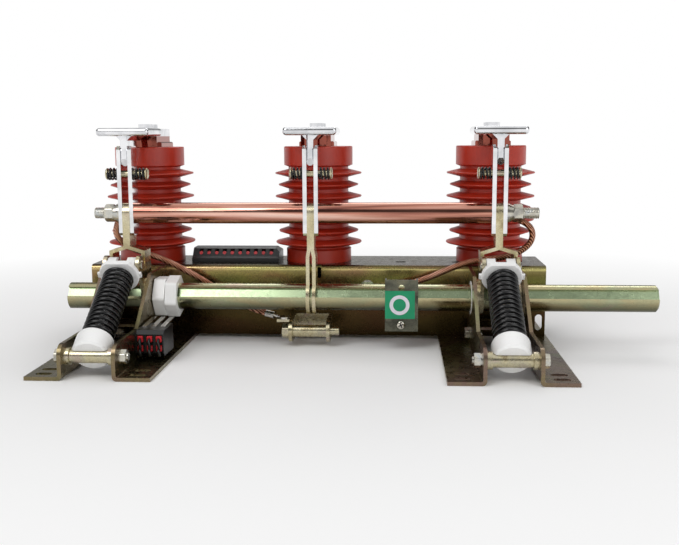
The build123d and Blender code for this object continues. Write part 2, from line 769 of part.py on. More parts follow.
def make_seat(centre_x):
    """The upper nylon seat: a disc on the spring and two ears that hold the crank pin."""
    align = (Align.CENTER, Align.CENTER, Align.MIN)
    disc = Pos(0, 0, -seat_drop - seat_disc) * Cylinder(seat_r, seat_disc, align=align)
    disc = fillet(disc.edges().filter_by(GeomType.CIRCLE), 1.5)
    spigot = Pos(0, 0, -seat_drop - seat_disc - seat_spigot_length) * Cylinder(
        seat_spigot_r, seat_spigot_length + 1, align=align
    )
    seat = disc + spigot
    seat -= box_between(-seat_r - 1, seat_r + 1, -seat_r - 1, -seat_flat, -seat_drop - seat_disc - 1, 0)
    reach = seat_drop + 1.0
    side = Pos(0, -reach / 2) * Rectangle(2 * seat_ear_half, reach) + Circle(seat_ear_half)
    mouth = Pos(0, seat_ear_half) * Rectangle(1.5 * crank_pin_r, 2 * seat_ear_half)
    side -= mouth
    for sign in (-1, 1):
        x_from, x_to = sorted((sign * seat_ear_inner, sign * seat_ear_outer))
        seat += slab_x(side, x_from, x_to)
        lug_from, lug_to = sorted((sign * (seat_r - 2), sign * (seat_r + 2.5)))
        seat += box_between(lug_from, lug_to, -3, 3, -seat_drop - seat_disc + 1.5, -seat_drop - 1.5)
    seat -= bar_x(crank_pin_r + running_gap, -seat_r, seat_r, 0, 0)
    place = Pos(centre_x, crank_y, crank_z) * Rot(spring_tilt - 90, 0, 0)
    return place * seat


def make_earth_bracket():
    """The earth terminal's bracket: two ears on a base plate, one with a tab for the braid's lug."""
    inner = earth_ear_gap / 2
    outer = inner + earth_ear
    base_back = beam_front_y
    low = earth_pin_z - earth_ear_r
    high = earth_pin_z + earth_ear_r
    side = Pos((earth_pin_y + base_back) / 2, earth_pin_z) * Rectangle(base_back - earth_pin_y, 2 * earth_ear_r)
    side += Pos(earth_pin_y, earth_pin_z) * Circle(earth_ear_r)
    bracket = slab_x(side, -outer, -inner) + slab_x(side, inner, outer)
    bracket += box_between(-outer, outer, base_back - earth_ear, base_back, low, high)
    tab_front = earth_tab_y - 7
    bracket += box_between(-outer - earth_tab_length, -inner, tab_front, tab_front + 16, high - 3, high)
    bracket -= bar_x(earth_pin_r, -outer - 1, outer + 1, earth_pin_y, earth_pin_z)
    return Pos(earth_x, 0, 0) * bracket


def make_earth_pin():
    """The earth terminal's bolt with its sleeve between the ears."""
    outer = earth_ear_gap / 2 + earth_ear
    pin = bar_x(earth_pin_r, -outer - 1, earth_pin_right, earth_pin_y, earth_pin_z)
    pin += hexagon_x(15.0, -outer - 8, -outer, earth_pin_y, earth_pin_z)
    pin += bar_x(earth_sleeve_r, -earth_ear_gap / 2, earth_ear_gap / 2, earth_pin_y, earth_pin_z)
    return Pos(earth_x, 0, 0) * pin


def make_earth_lug():
    """The crimped ring lug of the left braid, lying on the bracket's tab."""
    high = earth_pin_z + earth_ear_r
    centre_x = earth_x - earth_ear_gap / 2 - earth_ear - earth_tab_length / 2
    ring = Pos(centre_x, earth_tab_y + 1, high) * Cylinder(7.5, 2, align=(Align.CENTER, Align.CENTER, Align.MIN))
    barrel = make_barrel(left_braid_points[-1], left_braid_points[-2], 11.0)
    neck_from = Vector(centre_x - 5, earth_tab_y + 1, high + 1.6)
    return ring + make_neck(neck_from, left_braid_points[-1]) + barrel


def make_beam_lug():
    """The ring lug of the right braid, bolted flat on the crossbeam's front face behind the shaft."""
    end = Vector(*right_braid_points[-1])
    ring_place = end.X - 22
    ring = Pos(ring_place, beam_front_y - 1, end.Z) * Rot(90, 0, 0) * Cylinder(8.0, 2)
    hexagon = Pos(ring_place, end.Z) * RegularPolygon(6.5, 6, major_radius=False)
    head = slab_y(hexagon, beam_front_y - 7, beam_front_y - 2)
    barrel = make_barrel(right_braid_points[-1], right_braid_points[-2], 12.0)
    neck_from = Vector(ring_place + 6, beam_front_y - 1.8, end.Z)
    return ring + head + make_neck(neck_from, right_braid_points[-1]) + barrel


def make_braid(points, name):
    """A braid's tube: straight runs joined by arcs as large as the runs allow."""
    vectors = [Vector(*point) for point in points]
    radii = []
    for before, corner, after in zip(vectors, vectors[1:], vectors[2:]):
        first = corner - before
        second = after - corner
        turn = math.radians(first.get_angle(second))
        radii.append(0.45 * min(first.length, second.length) / math.tan(turn / 2))
    print(name, "smallest radius", round(min(radii), 1))
    path = FilletPolyline(*[tuple(vector) for vector in vectors], radius=radii)
    section = Plane(origin=path @ 0, z_dir=path % 0) * Circle(braid_r)
    tube = sweep(section, path=path)
    wanted = math.pi * braid_r**2 * path.length
    print(name, "length", round(path.length, 1), "volume over section times length", round(tube.volume / wanted, 4))
    return tube


def make_terminal_strip():
    """The black terminal strip on the crossbeam, with a sloped front and a row of wire entries."""
    back = strip_front_y + strip_depth
    top = beam_top_z + strip_height
    side = Polygon(
        (strip_front_y, beam_top_z),
        (strip_front_y, beam_top_z + 5),
        (strip_front_y + 4, beam_top_z + 7),
        (strip_front_y + 12, top - 1),
        (strip_front_y + 15, top),
        (back - 12, top),
        (back, top - 6),
        (back, beam_top_z),
        align=None,
    )
    strip = slab_x(side, strip_left_x, strip_left_x + strip_length)
    ends = strip.faces().filter_by(Axis.X)
    for end in ends:
        tops = end.edges().group_by(Axis.Z)[-1]
        strip = chamfer(tops, 5.0)
    pitch = (strip_length - 20) / (strip_hole_count - 1)
    for number in range(strip_hole_count):
        x = strip_left_x + 10 + number * pitch
        hole = Pos(x, strip_front_y + 6, top - 5) * Rot(-60, 0, 0) * Cylinder(strip_hole_r, 14)
        strip -= hole
    return strip


def make_aux_switch():
    """The auxiliary switch beside the inner wall: a black housing with bays and metal leaves."""
    start = left_x + wall_outer
    top = aux_bottom_z + aux_height
    back = aux_front_y + aux_depth
    body = box_between(start, start + aux_width, aux_front_y, back, aux_bottom_z, top)
    body = chamfer(body.edges().filter_by(Axis.X).group_by(Axis.Y)[0], 4.0)
    pitch = aux_width / aux_leaf_count
    for number in range(aux_leaf_count):
        middle = start + (number + 0.5) * pitch
        for z in (top - 9, aux_bottom_z + 9):
            bay = box_between(
                middle - pitch * 0.34, middle + pitch * 0.34, aux_front_y - 1, aux_front_y + 8, z - 4, z + 4
            )
            body -= bay
    return body


def make_aux_leaves():
    """Three spring leaves that rise from the auxiliary switch towards the cams."""
    start = left_x + wall_outer
    top = aux_bottom_z + aux_height
    back = aux_front_y + aux_depth
    pitch = aux_width / aux_leaf_count
    leaves = []
    for number in range(aux_leaf_count):
        middle = start + (number + 0.5) * pitch
        side = Polygon(
            (back - 24, top),
            (back - 2, top),
            (back - 2, top + 1.2),
            (back + 18, top + 2.2),
            (back + 18, top + 3.4),
            (back - 4, top + 2.6),
            (back - 24, top + 1.2),
            align=None,
        )
        leaves.append(slab_x(side, middle - 2.6, middle + 2.6))
    return Compound(children=leaves)


def main():
    os.makedirs("parts", exist_ok=True)
    named(make_crossbeam(), "crossbeam")
    named(make_terminal_strip(), "terminal_strip")
    named(make_aux_switch(), "auxiliary_switch")
    named(make_aux_leaves(), "auxiliary_switch_leaves")
    named(make_earth_bracket(), "earth_bracket")
    named(make_earth_pin(), "earth_pin")
    named(Compound(children=[make_earth_lug(), make_beam_lug()]), "earth_lugs")
    named(make_shaft(), "shaft")
    named(make_tubes(), "copper_tubes")
    named(make_tie_rod(), "tie_rod")
    named(make_tie_nuts(), "tie_rod_nuts")
    named(make_cams(), "switch_cams")
    named(make_indicator(), "indicator_plate")
    named(make_braid(left_braid_points, "left braid"), "left_braid")
    named(make_braid(right_braid_points, "right braid"), "right_braid")
    springs = []
    for name, x in pole_xs.items():
        named(make_insulator(x), f"{name}_insulator")
        named(make_contact(x), f"{name}_fixed_contact")
        named(make_arm(x), f"{name}_arm")
        named(make_blades(x), f"{name}_blades")
        springs += make_pressure_springs(x)
    named(Compound(children=springs), "pressure_springs")
    named(Compound(children=[make_pressure_bolt(x) for x in pole_xs.values()]), "pressure_bolts")
    for name, x in mechanism_xs.items():
        named(make_bracket(x, -1 if name == "left" else 1), f"{name}_outer_bracket")
        named(make_bracket(x, 1 if name == "left" else -1), f"{name}_inner_bracket")
        named(make_guide_cap(x), f"{name}_spring_cap")
        named(make_guide_rod(x), f"{name}_guide_rod")
        named(make_spring(x), f"{name}_main_spring")
        named(make_seat(x), f"{name}_spring_seat")
    both = mechanism_xs.values()
    named(Compound(children=[make_cross_plate(x) for x in both]), "cross_plates")
    named(Compound(children=[bolt for x in both for bolt in make_cross_bolts(x).children]), "cross_plate_bolts")
    named(Compound(children=[make_pivot_sleeve(x) for x in both]), "pivot_sleeves")
    named(Compound(children=[make_pivot_bolt(x) for x in both]), "pivot_bolts")
    named(Compound(children=[make_crank_pin(x) for x in both]), "crank_pins")
    bushes = [make_bush(x, side) for x in both for side in (-1, 1)]
    named(Compound(children=bushes), "shaft_bushes")
    print("spring tilt", round(spring_tilt, 2), "run", round(spring_run, 2), "length", round(spring_length, 2))


main()
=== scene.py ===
import math

import bmesh
import bpy
from mathutils import Matrix, Vector


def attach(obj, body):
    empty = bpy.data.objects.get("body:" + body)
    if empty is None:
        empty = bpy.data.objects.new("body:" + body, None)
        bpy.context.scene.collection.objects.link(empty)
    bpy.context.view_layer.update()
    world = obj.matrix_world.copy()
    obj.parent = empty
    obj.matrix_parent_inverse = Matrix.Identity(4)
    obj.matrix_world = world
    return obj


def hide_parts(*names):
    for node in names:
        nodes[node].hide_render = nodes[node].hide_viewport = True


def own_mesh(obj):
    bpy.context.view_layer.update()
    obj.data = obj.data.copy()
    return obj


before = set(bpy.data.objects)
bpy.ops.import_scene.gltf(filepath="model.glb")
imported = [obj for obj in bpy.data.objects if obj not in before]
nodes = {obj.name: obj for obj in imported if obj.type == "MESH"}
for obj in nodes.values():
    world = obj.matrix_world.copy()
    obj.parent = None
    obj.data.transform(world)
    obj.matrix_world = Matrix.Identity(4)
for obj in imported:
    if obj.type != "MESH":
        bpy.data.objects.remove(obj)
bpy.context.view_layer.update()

# Places and sizes shared with the CAD model, in metres
pole_xs = {"left": -0.21, "centre": 0.0, "right": 0.21}
mechanism_xs = {"left": -0.21, "right": 0.21}
shaft_z = 0.058
tie_rod_z = 0.154
pivot = Vector((0.0, -0.1485, 0.0223))
crank = Vector((0.0, -0.028, 0.098))
cap_length = 0.023
blade_outer = 0.0085
pressure_bolt_z = 0.1985
indicator_face_y = -0.0174
braid_diameter = 0.007

# Where one colour starts to go over to another, and where it has done so, in metres
# The crossbeam's painted shade, deepest at the foot, and its painted light, up to the top
beam_painted_shade_foot_z = 0.002
beam_painted_light_top_z = 0.088
# The shaft's pale green painted reflection in its groove floors
groove_painted_reflection_r = 0.0121
shaft_painted_reflection_edge_r = 0.0127
# The shaft's painted shade on its lower side
shaft_painted_shade_low_z = shaft_z - 0.011
shaft_painted_shade_high_z = shaft_z - 0.001
web_colour_y = 0.056
block_colour_y = 0.060
block_colour_z = 0.2405
contact_colour_z = 0.2415

# The main springs and the short springs outside the blades
spring_length = 0.09931
spring_mean_r = 0.0148
spring_wire_r = 0.00215
spring_turns = 14.5
pressure_spring_length = 0.0135
pressure_spring_r = 0.0060
pressure_wire_r = 0.00115
pressure_spring_turns = 3.6
end_turns = 0.75
end_rise_in_wire_r = 1.2

# The thread at each end of the tie rod
thread_start_x = 0.2358
thread_left_end_x = -0.2482
thread_right_end_x = 0.2542
thread_major_r = 0.0064
thread_depth = 0.0005
thread_pitch = 0.00175
thread_chamfer_slope = 1.2

# The sign on the indicator plate and the screw below it
sign_left_x = 0.0838
sign_right_x = 0.1171
sign_bottom_z = 0.0365
sign_top_z = 0.0682
sign_corner_r = 0.0006
sign_front_y = indicator_face_y - 0.0007
sign_thickness = 0.0006
ring_x = 0.1000
ring_z = 0.0521
ring_outer_r = 0.0112
ring_inner_r = 0.0072
ring_front_y = indicator_face_y - 0.00095
ring_thickness = 0.00025
sign_screw_x = 0.1016
sign_screw_z = 0.0294
sign_screw_r = 0.0048
sign_screw_turn = math.radians(25)
# Thickness of the near-black cross, painted shade for the screw head's cross recess
recess_shade_thickness = 0.0004

# The terminal strip and its wire ends
strip_left_x = -0.154
strip_length = 0.107
strip_front_y = 0.069
strip_top_z = 0.1045
strip_hole_count = 10
strip_margin = 0.010
strip_slope = math.radians(30)
strip_entry_y = strip_front_y + 0.006
strip_entry_z = strip_top_z - 0.005
strip_wire_inset = 0.0015
strip_wire_r = 0.0022
strip_wire_length = 0.004

# The auxiliary switch and its wires
aux_left_x = -0.1805
aux_width = 0.030
aux_front_y = -0.090
aux_bottom_z = 0.008
aux_top_z = 0.036
aux_columns = 3
aux_row_inset = 0.009
upper_stub_drop = 0.0045
lower_stub_drop = 0.0035
sleeve_front_y = aux_front_y - 0.0015
sleeve_back_y = aux_front_y + 0.0060
sleeve_half_width = 0.0030
sleeve_half_height = 0.0032
sleeve_edge = 0.0007
stub_r = 0.0016

# The floor and its fade to the white background
floor_size = 40
fade_start = 0.30
fade_end = 1.0

# The photograph's camera, fitted to the object's own proportions, with its angles in degrees
camera_place = (0.09724, -1.01384, 0.23803)
camera_heading = 3.70
camera_dip = 8.34
camera_roll = -0.29
camera_lens = 47.8
camera_shift_y = -0.0038

# The point that every lamp is aimed at
lamp_target = Vector((0, 0, 0.1))


def millimetres(points):
    """Points given in millimetres, as vectors in metres."""
    return [Vector(point) / 1000 for point in points]


left_braid_points = millimetres([
    (-226, 15, 145),
    (-232, 16, 134),
    (-229, 19, 121),
    (-217, 24, 111),
    (-200, 29, 104),
    (-181, 31, 97),
    (-160, 31, 87),
    (-138, 31, 75),
    (-115, 31, 61),
    (-93, 29, 48),
    (-73, 21, 39),
    (-55, 14, 36),
])
right_braid_points = millimetres([
    (231, 15, 146),
    (243, 16, 142),
    (251, 17, 132),
    (250, 20, 119),
    (239, 24, 108),
    (222, 28, 101),
    (203, 31, 98),
    (182, 32, 95),
    (159, 31, 87),
    (133, 32, 75),
    (107, 34, 67),
    (84, 36, 63),
])


class Tree:
    """A node tree, with short calls to add nodes and links."""

    def __init__(self, tree):
        self.tree = tree

    def add(self, kind, **settings):
        """A new node, with its settings."""
        node = self.tree.nodes.new(kind)
        for key, value in settings.items():
            setattr(node, key, value)
        return node

    def link(self, output, target):
        self.tree.links.new(output, target)

    def ramp(self, factor, stops):
        """A colour ramp from (place, colour) stops."""
        node = self.add("ShaderNodeValToRGB")
        elements = node.color_ramp.elements
        while len(elements) < len(stops):
            elements.new(0.5)
        for element, (position, colour) in zip(elements, stops):
            element.position = position
            element.color = (*colour, 1.0)
        self.link(factor, node.inputs["Fac"])
        return node.outputs["Color"]

    def spread(self, factor, low, high, start=0.3, end=0.7):
        """A factor mapped from start..end to low..high."""
        node = self.add("ShaderNodeMapRange")
        node.inputs["From Min"].default_value = start
        node.inputs["From Max"].default_value = end
        node.inputs["To Min"].default_value = low
        node.inputs["To Max"].default_value = high
        self.link(factor, node.inputs["Value"])
        return node.outputs["Result"]

    def blend(self, factor, first, second, mode="MIX"):
        """Two colours mixed, each an output or three numbers. The factor is an output or a number."""
        node = self.add("ShaderNodeMix", data_type="RGBA", blend_type=mode)
        for name, value in {"Factor": factor, "A": first, "B": second}.items():
            kind = "VALUE" if name == "Factor" else "RGBA"
            target = [s for s in node.inputs if s.name == name and s.type == kind][0]
            if isinstance(value, bpy.types.NodeSocket):
                self.link(value, target)
            elif kind == "VALUE":
                target.default_value = value
            else:
                target.default_value = (*value, 1.0)
        return [s for s in node.outputs if s.type == "RGBA"][0]

    def shaded(self, colour, value):
        """A colour multiplied by one value."""
        grey = self.add("ShaderNodeCombineColor")
        for channel in ("Red", "Green", "Blue"):
            self.link(value, grey.inputs[channel])
        return self.blend(1.0, colour, grey.outputs["Color"], "MULTIPLY")

    def maths(self, operation, first, second):
        """Two outputs combined by a maths operation."""
        node = self.add("ShaderNodeMath", operation=operation)
        self.link(first, node.inputs[0])
        self.link(second, node.inputs[1])
        return node.outputs["Value"]

    def length(self, vector):
        """The length of a vector."""
        node = self.add("ShaderNodeVectorMath", operation="LENGTH")
        self.link(vector, node.inputs[0])
        return node.outputs["Value"]


class Recipe(Tree):
    """A new material and its node tree, whose patterns go by object coordinates."""

    def __init__(self, name):
        self.material = bpy.data.materials.new(name)
        self.material.use_nodes = True
        super().__init__(self.material.node_tree)
        self.shader = self.tree.nodes["Principled BSDF"]
        self.place = self.add("ShaderNodeTexCoord").outputs["Object"]

    def mapped(self, scale, location=(0, 0, 0)):
        """Object coordinates with their own scale and shift along each axis."""
        mapping = self.add("ShaderNodeMapping")
        mapping.inputs["Location"].default_value = location
        mapping.inputs["Scale"].default_value = scale
        self.link(self.place, mapping.inputs["Vector"])
        return mapping.outputs["Vector"]

    def noise(self, scale, detail=3.0, distortion=0.0, vector=None, roughness=0.5):
        node = self.add("ShaderNodeTexNoise")
        node.inputs["Scale"].default_value = scale
        node.inputs["Detail"].default_value = detail
        node.inputs["Roughness"].default_value = roughness
        node.inputs["Distortion"].default_value = distortion
        self.link(vector or self.place, node.inputs["Vector"])
        return node.outputs["Fac"]

    def along(self, axis):
        """One coordinate, X, Y or Z, in metres."""
        node = self.add("ShaderNodeSeparateXYZ")
        self.link(self.place, node.inputs["Vector"])
        return node.outputs[axis]

    def bump(self, height, strength, distance):
        node = self.add("ShaderNodeBump")
        node.inputs["Strength"].default_value = strength
        node.inputs["Distance"].default_value = distance
        self.link(height, node.inputs["Height"])
        self.link(node.outputs["Normal"], self.shader.inputs["Normal"])

    def colour(self, output):
        self.link(output, self.shader.inputs["Base Color"])

    def roughness(self, output):
        self.link(output, self.shader.inputs["Roughness"])

    def metal(self):
        self.shader.inputs["Metallic"].default_value = 1.0


def even_stops(tones, start, width):
    """Tones spread evenly along a part of a colour ramp."""
    last = len(tones) - 1
    return [(start + width * number / last, tone) for number, tone in enumerate(tones)]


def passivated(name, tones, patch=22.0, stretch=(1, 1, 1), rough=(0.18, 0.34), grain=0.12, mask=None):
    """Yellow passivated zinc, with the faint rainbow patches of the coating."""
    recipe = Recipe(name)
    recipe.metal()
    patches = recipe.noise(patch, detail=4.0, distortion=0.8, vector=recipe.mapped(stretch))
    tinted = recipe.ramp(patches, even_stops(tones, 0.30, 0.40))
    if mask:
        tinted = mask(recipe, tinted)
    fine = recipe.noise(900.0, detail=2.0)
    speck = recipe.spread(fine, 1.0 - grain, 1.0 + grain)
    recipe.colour(recipe.shaded(tinted, speck))
    wear = recipe.noise(140.0, detail=5.0, roughness=0.65)
    recipe.roughness(recipe.spread(wear, rough[0], rough[1]))
    recipe.bump(wear, 0.04, 0.0002)
    return recipe.material


def shaft_painted_reflection_and_shade(recipe, tinted):
    """Painted reflection, a pale green band in the groove floors, and painted shade that darkens the
    shaft's lower side.
    """
    radius = recipe.length(recipe.mapped((0, 1, 1), (0, 0, -shaft_z)))
    # Pale green painted reflection where the surface dips into the grooves
    groove = recipe.spread(radius, 1.0, 0.0, groove_painted_reflection_r, shaft_painted_reflection_edge_r)
    banded = recipe.blend(groove, tinted, (0.34, 0.42, 0.26))
    # Painted shade, darker towards the shaft's lower side
    low = recipe.spread(recipe.along("Z"), 0.28, 1.0, shaft_painted_shade_low_z, shaft_painted_shade_high_z)
    return recipe.shaded(banded, low)


def contact_block(recipe, tinted):
    """The block behind the fixed contact's web, which shows reddish brown in the photograph."""
    behind = recipe.spread(recipe.along("Y"), 0.0, 1.0, web_colour_y, block_colour_y)
    below = recipe.spread(recipe.along("Z"), 1.0, 0.0, block_colour_z, contact_colour_z)
    return recipe.blend(recipe.maths("MULTIPLY", behind, below), tinted, (0.30, 0.085, 0.060))


def beam_zinc():
    """The crossbeam's zinc: gold-green, olive and rust-brown patches, with painted shade that darkens it
    towards the foot, a painted highlight line just below the top edge and darker painted shade above that
    line.
    """
    recipe = Recipe("beam_zinc")
    recipe.metal()
    patches = recipe.noise(9.0, detail=2.0, distortion=0.6, vector=recipe.mapped((0.5, 1.0, 2.2)))
    tinted = recipe.ramp(patches, [
        (0.30, (0.27, 0.24, 0.11)),
        (0.43, (0.34, 0.29, 0.12)),
        (0.52, (0.33, 0.22, 0.12)),
        (0.62, (0.38, 0.34, 0.16)),
        (0.74, (0.36, 0.25, 0.21)),
    ])
    height = recipe.spread(recipe.along("Z"), 0.0, 1.0, beam_painted_shade_foot_z, beam_painted_light_top_z)
    # Painted shade and painted highlight: dark at the foot and lighter upwards, then a bright line with
    # values above one near the top, then darker again at the top edge.
    fade = recipe.ramp(height, [
        (0.0, (0.09, 0.07, 0.06)),
        (0.40, (0.20, 0.16, 0.13)),
        (0.60, (0.72, 0.68, 0.62)),
        (0.92, (0.88, 0.84, 0.80)),
        (0.955, (2.3, 2.4, 2.2)),
        (0.985, (0.30, 0.29, 0.26)),
        (1.0, (0.22, 0.21, 0.19)),
    ])
    recipe.colour(recipe.blend(1.0, tinted, fade, "MULTIPLY"))
    wear = recipe.noise(150.0, detail=5.0, roughness=0.65)
    recipe.roughness(recipe.spread(wear, 0.20, 0.32))
    recipe.bump(wear, 0.04, 0.0002)
    return recipe.material


def bright_metal(name, tones, rough, patch=60.0, stretch=(1, 1, 1), mask=None):
    """Polished metal with faint clouding and fine scratches."""
    recipe = Recipe(name)
    recipe.metal()
    vector = recipe.mapped(stretch)
    cloud = recipe.noise(patch, detail=5.0, distortion=0.5, vector=vector)
    tinted = recipe.ramp(cloud, even_stops(tones, 0.32, 0.36))
    if mask:
        tinted = mask(recipe, tinted)
    recipe.colour(tinted)
    scratch = recipe.noise(420.0, detail=4.0, vector=vector, roughness=0.7)
    recipe.roughness(recipe.spread(scratch, rough[0], rough[1]))
    recipe.bump(scratch, 0.06, 0.0003)
    return recipe.material


def moulded(name, colour, deeper, rough, patch=35.0, bump=0.06):
    """Moulded plastic or cast resin, with slight clouding and a fine skin."""
    recipe = Recipe(name)
    cloud = recipe.noise(patch, detail=4.0)
    recipe.colour(recipe.ramp(cloud, [(0.32, deeper), (0.68, colour)]))
    skin = recipe.noise(700.0, detail=3.0)
    recipe.roughness(recipe.spread(skin, rough[0], rough[1]))
    recipe.bump(skin, bump, 0.0002)
    return recipe.material


def braided_copper():
    """Fine copper strands as diagonal bands."""
    recipe = Recipe("braided_copper")
    recipe.metal()
    wave = recipe.add("ShaderNodeTexWave", wave_type="BANDS", bands_direction="DIAGONAL")
    wave.inputs["Scale"].default_value = 190.0
    wave.inputs["Distortion"].default_value = 1.5
    wave.inputs["Detail"].default_value = 2.0
    recipe.link(recipe.place, wave.inputs["Vector"])
    strands = wave.outputs["Fac"]
    patches = recipe.noise(60.0, detail=3.0)
    tinted = recipe.ramp(patches, [(0.35, (0.50, 0.19, 0.10)), (0.65, (0.86, 0.48, 0.34))])
    shade = recipe.ramp(strands, [(0.25, (0.16, 0.11, 0.09)), (0.7, (1.0, 1.0, 1.0))])
    recipe.colour(recipe.blend(1.0, tinted, shade, "MULTIPLY"))
    recipe.shader.inputs["Roughness"].default_value = 0.36
    recipe.bump(strands, 0.6, 0.0006)
    return recipe.material


def flat_paint(name, colour, deeper, rough=0.4):
    """A small painted or printed surface with slight unevenness."""
    return moulded(name, colour, deeper, (rough, rough + 0.08), patch=80.0, bump=0.03)


bracket_tones = [
    (0.13, 0.11, 0.06), (0.20, 0.18, 0.09), (0.25, 0.20, 0.11), (0.22, 0.15, 0.12), (0.26, 0.25, 0.14),
]
shaft_tones = [(0.34, 0.28, 0.15), (0.48, 0.42, 0.24), (0.40, 0.42, 0.26), (0.50, 0.38, 0.30)]
arm_tones = [(0.34, 0.28, 0.16), (0.56, 0.49, 0.30), (0.66, 0.60, 0.42), (0.48, 0.34, 0.27)]
small_tones = [(0.36, 0.30, 0.18), (0.58, 0.52, 0.34), (0.50, 0.46, 0.33), (0.46, 0.35, 0.31)]
bolt_tones = [(0.34, 0.33, 0.30), (0.62, 0.59, 0.50), (0.52, 0.54, 0.54)]
dark_tones = [(0.05, 0.05, 0.04), (0.12, 0.12, 0.09), (0.17, 0.16, 0.11)]
# Copper from dark brown to pale pink, which the tubes' clouding stretches into painted reflection bands
copper_tones_with_painted_reflections = [(0.20, 0.07, 0.055), (0.56, 0.25, 0.18), (0.84, 0.50, 0.40), (0.92, 0.64, 0.54)]
silver_tones = [(0.70, 0.71, 0.72), (0.92, 0.92, 0.93)]
contact_tones = [(0.62, 0.63, 0.65), (0.90, 0.90, 0.92)]
steel_tones = [(0.42, 0.42, 0.42), (0.62, 0.62, 0.62)]
tin_tones = [(0.60, 0.58, 0.54), (0.82, 0.80, 0.76)]

materials = {
    "beam": beam_zinc(),
    "bracket": passivated("bracket_zinc", bracket_tones, patch=9.0, rough=(0.22, 0.36)),
    # The shaft's mask paints a pale green reflection in the grooves and shade on the lower side.
    "shaft": passivated(
        "shaft_zinc", shaft_tones, patch=30.0, stretch=(0.35, 1, 1), rough=(0.16, 0.30), mask=shaft_painted_reflection_and_shade,
    ),
    "arm": passivated("arm_zinc", arm_tones, patch=34.0, stretch=(1, 1, 0.6)),
    "small": passivated("small_part_zinc", small_tones, patch=50.0),
    "bolt": passivated("bolt_zinc", bolt_tones, patch=70.0, rough=(0.14, 0.28)),
    "dark": passivated("dark_zinc", dark_tones, patch=40.0),
    "silver": bright_metal("silver_plate", silver_tones, (0.04, 0.14)),
    "contact": bright_metal("contact_plate", contact_tones, (0.03, 0.12), mask=contact_block),
    # Stretched along X, the clouding runs as streaks along the tubes: painted reflection bands, dark
    # brown and pale pink.
    "copper": bright_metal("copper_tube", copper_tones_with_painted_reflections, (0.06, 0.18), patch=70.0, stretch=(0.05, 1, 1)),
    "steel": bright_metal("bright_steel", steel_tones, (0.18, 0.32)),
    "tin": bright_metal("tin_plate", tin_tones, (0.14, 0.30)),
    "braid": braided_copper(),
    "epoxy": moulded("red_epoxy", (0.52, 0.034, 0.012), (0.43, 0.026, 0.010), (0.30, 0.40)),
    "nylon": moulded("white_nylon", (0.94, 0.94, 0.93), (0.90, 0.90, 0.89), (0.26, 0.36)),
    "black": moulded("black_plastic", (0.008, 0.008, 0.009), (0.005, 0.005, 0.005), (0.28, 0.40)),
    "spring": moulded(
        "black_coated_spring", (0.004, 0.004, 0.005), (0.003, 0.003, 0.003), (0.14, 0.20), bump=0.01,
    ),
    "wire_red": flat_paint("red_wire_end", (0.62, 0.010, 0.020), (0.45, 0.008, 0.014)),
    "sign_green": flat_paint("sign_green", (0.0, 0.30, 0.13), (0.0, 0.26, 0.11)),
    "sign_white": flat_paint("sign_white", (0.80, 0.76, 0.84), (0.74, 0.70, 0.78)),
    # Near-black sheet, painted shade for the sign screw's cross recess
    "hole": flat_paint("painted_recess_shade", (0.006, 0.006, 0.006), (0.003, 0.003, 0.003), 0.7),
}

node_materials = {
    "crossbeam": "beam",
    "terminal_strip": "black",
    "auxiliary_switch": "black",
    "auxiliary_switch_leaves": "tin",
    "earth_bracket": "small",
    "earth_pin": "small",
    "earth_lugs": "tin",
    "cross_plates": "bracket",
    "cross_plate_bolts": "bolt",
    "pivot_sleeves": "small",
    "pivot_bolts": "bolt",
    "shaft": "shaft",
    "copper_tubes": "copper",
    "tie_rod": "bolt",
    "tie_rod_nuts": "bolt",
    "pressure_bolts": "small",
    "crank_pins": "bolt",
    "shaft_bushes": "nylon",
    "switch_cams": "nylon",
    "indicator_plate": "dark",
}
for side in mechanism_xs:
    node_materials[f"{side}_outer_bracket"] = "bracket"
    node_materials[f"{side}_inner_bracket"] = "bracket"
    node_materials[f"{side}_spring_cap"] = "nylon"
    node_materials[f"{side}_spring_seat"] = "nylon"
    node_materials[f"{side}_guide_rod"] = "steel"
for pole in pole_xs:
    node_materials[f"{pole}_insulator"] = "epoxy"
    node_materials[f"{pole}_fixed_contact"] = "contact"
    node_materials[f"{pole}_arm"] = "arm"
    node_materials[f"{pole}_blades"] = "silver"


def set_material(thing, key):
    thing.data.materials.clear()
    thing.data.materials.append(materials[key])


def dress_nodes():
    """Gives each CAD node its material."""
    for name, key in node_materials.items():
        set_material(nodes[name], key)


def soften_edges(thing, width):
    """Rounds the sharp edges slightly, so that they catch the light as real ones do."""
    bevel = thing.modifiers.new("edge_round", "BEVEL")
    bevel.width = width
    bevel.segments = 2
    bevel.limit_method = "ANGLE"
    bevel.angle_limit = math.radians(40)
    bevel.use_clamp_overlap = True
    bevel.harden_normals = False


def new_piece(name, data, key, body):
    """A new piece from its mesh or curve, with its material and the body that it rides on."""
    thing = bpy.data.objects.new(name, data)
    bpy.context.scene.collection.objects.link(thing)
    set_material(thing, key)
    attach(thing, body)
    return thing


def mesh_piece(name, points, faces, key, body, smooth=True):
    """A new piece from points and faces."""
    mesh = bpy.data.meshes.new(name)
    mesh.from_pydata([tuple(point) for point in points], [], faces)
    mesh.validate()
    shell = bmesh.new()
    shell.from_mesh(mesh)
    bmesh.ops.recalc_face_normals(shell, faces=shell.faces)
    shell.to_mesh(mesh)
    shell.free()
    mesh.update()
    if smooth:
        mesh.polygons.foreach_set("use_smooth", [True] * len(mesh.polygons))
    return new_piece(name, mesh, key, body)


